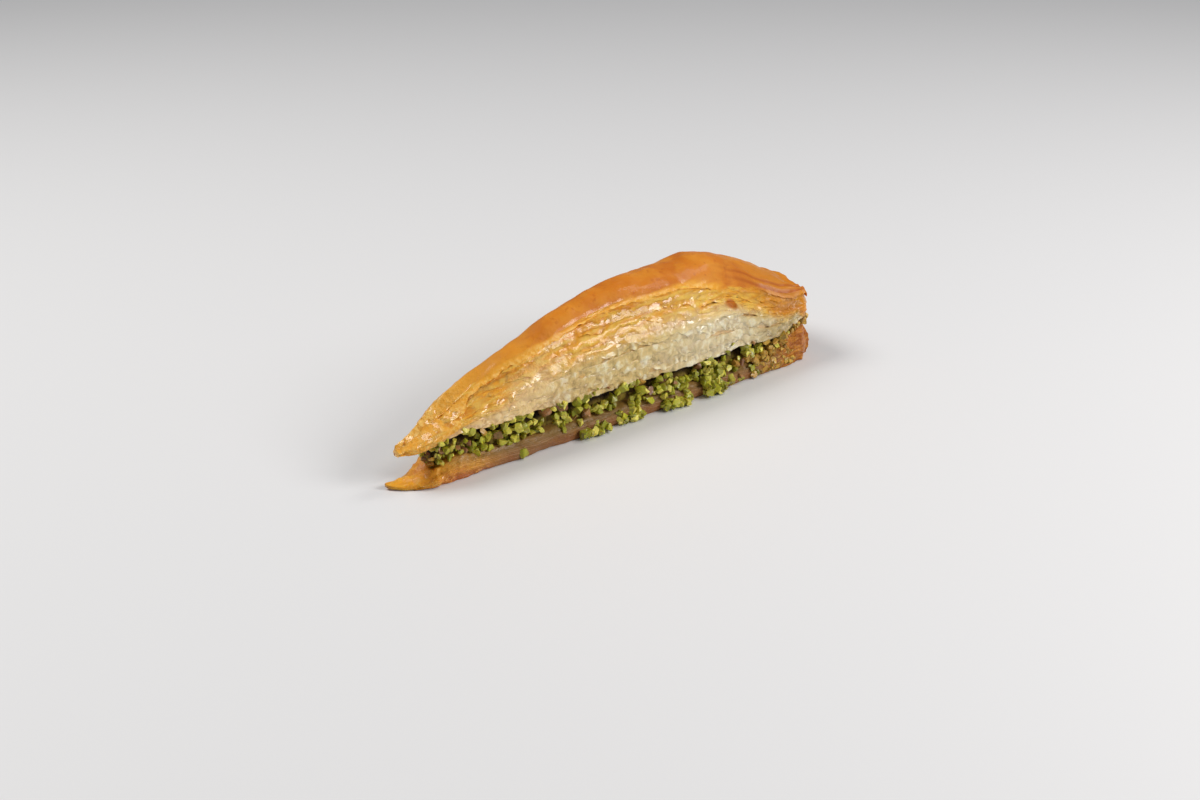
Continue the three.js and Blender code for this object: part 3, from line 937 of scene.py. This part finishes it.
out = mix(0.3, 0.7, smooth(4, 40, s)) - 0.4 * smooth(120, 145, s) + flakes * (1 - smooth(24, 60, s))
u = u + np.sign(across) * np.sin(over * math.pi / 2) * out
ragged = np.sin(np.minimum(2 * tip_over, 1) * math.pi / 2) * (0.6 + 0.5 * lumps(body, (9, 3, 2), 36))
s = s + 1.3 * np.sin(end_over * math.pi / 2) - ragged
wrinkles = 0.5 * lumps(body, (99, 3.5, 7), 43) + 0.3 * lumps(body, (99, 1.5, 2.5), 44)
s = s + wrinkles * smooth(0, 0.6, end_over) + 0.5 * lumps(flat, (99, 6, 9), 45) * smooth(162, 171, s)
# The end wall browns towards its lower edge.
browning_and_crease_shade = 0.5 * smooth(0.5, 1, end_over) * smooth(-0.6, 0.6, lumps(body, (9, 4, 2.5), 46))
for line, depth in CREASES:
    middle = -mix(line - 0.12, line, smooth(124, 168, s)) + 0.04 * lumps(flat, (9, 99, 9), 29)
    z = z + depth * bump(across, middle, CREASE_WIDTH) * smooth(128, 150, s) * (1 - over)
    # Painted shade: a dark band in the valley beside each crease.
    dark = bump(across, middle - 0.045, 0.022) * smooth(128, 150, s)
    browning_and_crease_shade = browning_and_crease_shade + dark * (1 - over) * (1 - smooth(0, 0.4, end_over))
set_points(crust, place(s, u, z - drop))
# Painted sheen: a light patch on the -Y edge near 119 mm from the tip, added to over so it takes the
# edge's lighter golds.
painted_sheen_patch = 0.6 * bump(s, 119, 8) * bump(across, -0.78, 0.1)
tint(crust, "over", smooth(0.66, 1, np.abs(across)) * (1 - 0.6 * smooth(118, 140, s)) + painted_sheen_patch)
tint(crust, "sheen", bump(across, -0.74, 0.1) * smooth(50, 80, s) * (1 - smooth(118, 140, s)))
tint(crust, "seat", s)
tint(crust, "browning_and_crease_shade", browning_and_crease_shade)
thicken(crust, CRUST_THICKNESS, offset=-1)
soften(crust)

CRUST_DARK = (0.51, 0.125, 0.003)
CRUST_LIGHT = (0.7, 0.23, 0.01)
CRUST_MOTTLE = (0.72, 0.28, 0.022)
CRUST_SPECK = (0.42, 0.08, 0.001)
CRUST_TIP = (0.84, 0.39, 0.03)
CRUST_TIP_FLECK = (1, 0.62, 0.16)
CRUST_SIDE = (0.86, 0.38, 0.025)
CRUST_SIDE_FLECK = (0.97, 0.55, 0.12)
CRUST_END = (0.6, 0.22, 0.011)
END_BROWNING_AND_CREASE_SHADE = (0.4, 0.08, 0.001)
baked, tools, places, shader = finish(
    "crust", Coat_Roughness=0.12, Specular_IOR_Level=0.23,
    Subsurface_Weight=0.08, Subsurface_Scale=0.001, Subsurface_Radius=(1, 0.5, 0.2),
)

# over grows towards the cut sides and holds a painted sheen patch on the -Y edge, sheen marks the
# wettest strip beside the -Y edge, browning_and_crease_shade is the end wall's browning plus painted
# shade beside the creases, and seat is the distance from the tip.
wide = grain(tools, places, 22, 3)
mottle = grain(tools, places, 6, 4)
fine = grain(tools, places, 1.2, 4)
seat = attribute(tools, "seat")
colour = wide.between(0.3, 0.7).blend(CRUST_DARK, CRUST_LIGHT)
colour = (mottle.between(0.4, 0.7) * 0.55).blend(colour, CRUST_MOTTLE)
colour = (grain(tools, places, 2.5).between(0.58, 0.7) * 0.4).blend(colour, CRUST_SPECK)
colour = ((1 - seat.between(14, 70)) * 0.85).blend(colour, CRUST_TIP)
tip_flecks = (1 - seat.between(10, 34)) * fine.between(0.4, 0.62) * 0.85
colour = tip_flecks.blend(colour, CRUST_TIP_FLECK)
over = attribute(tools, "over") + 0.9 * (grain(tools, places, 2.2, 4, (0.2, 1, 1)) - 0.5)
colour = (over.between(0.1, 0.75) * 0.9).blend(colour, CRUST_SIDE)
colour = (over.between(0.45, 1) * fine.between(0.4, 0.65)).blend(colour, CRUST_SIDE_FLECK)
colour = (0.7 * seat.between(135, 160)).blend(colour, CRUST_END)
colour = (0.8 * attribute(tools, "browning_and_crease_shade")).blend(colour, END_BROWNING_AND_CREASE_SHADE)
sheen = attribute(tools, "sheen")
flaky = 1 - seat.between(12, 50)
flecks = grain(tools, places, 0.5, 5)
relief = mottle + (0.55 + sheen + flaky) * fine + 1.5 * flaky * flecks
gloss = 0.12 + 0.5 * sheen * mottle.between(0.45, 0.6) + 0.5 * flaky
feed(tools, shader, colour, relief, depth=0.3, roughness=0.42 + 0.2 * mottle, coat=gloss)
crust.data.materials.append(baked)
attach(crust, "root")
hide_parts("top_pastry")
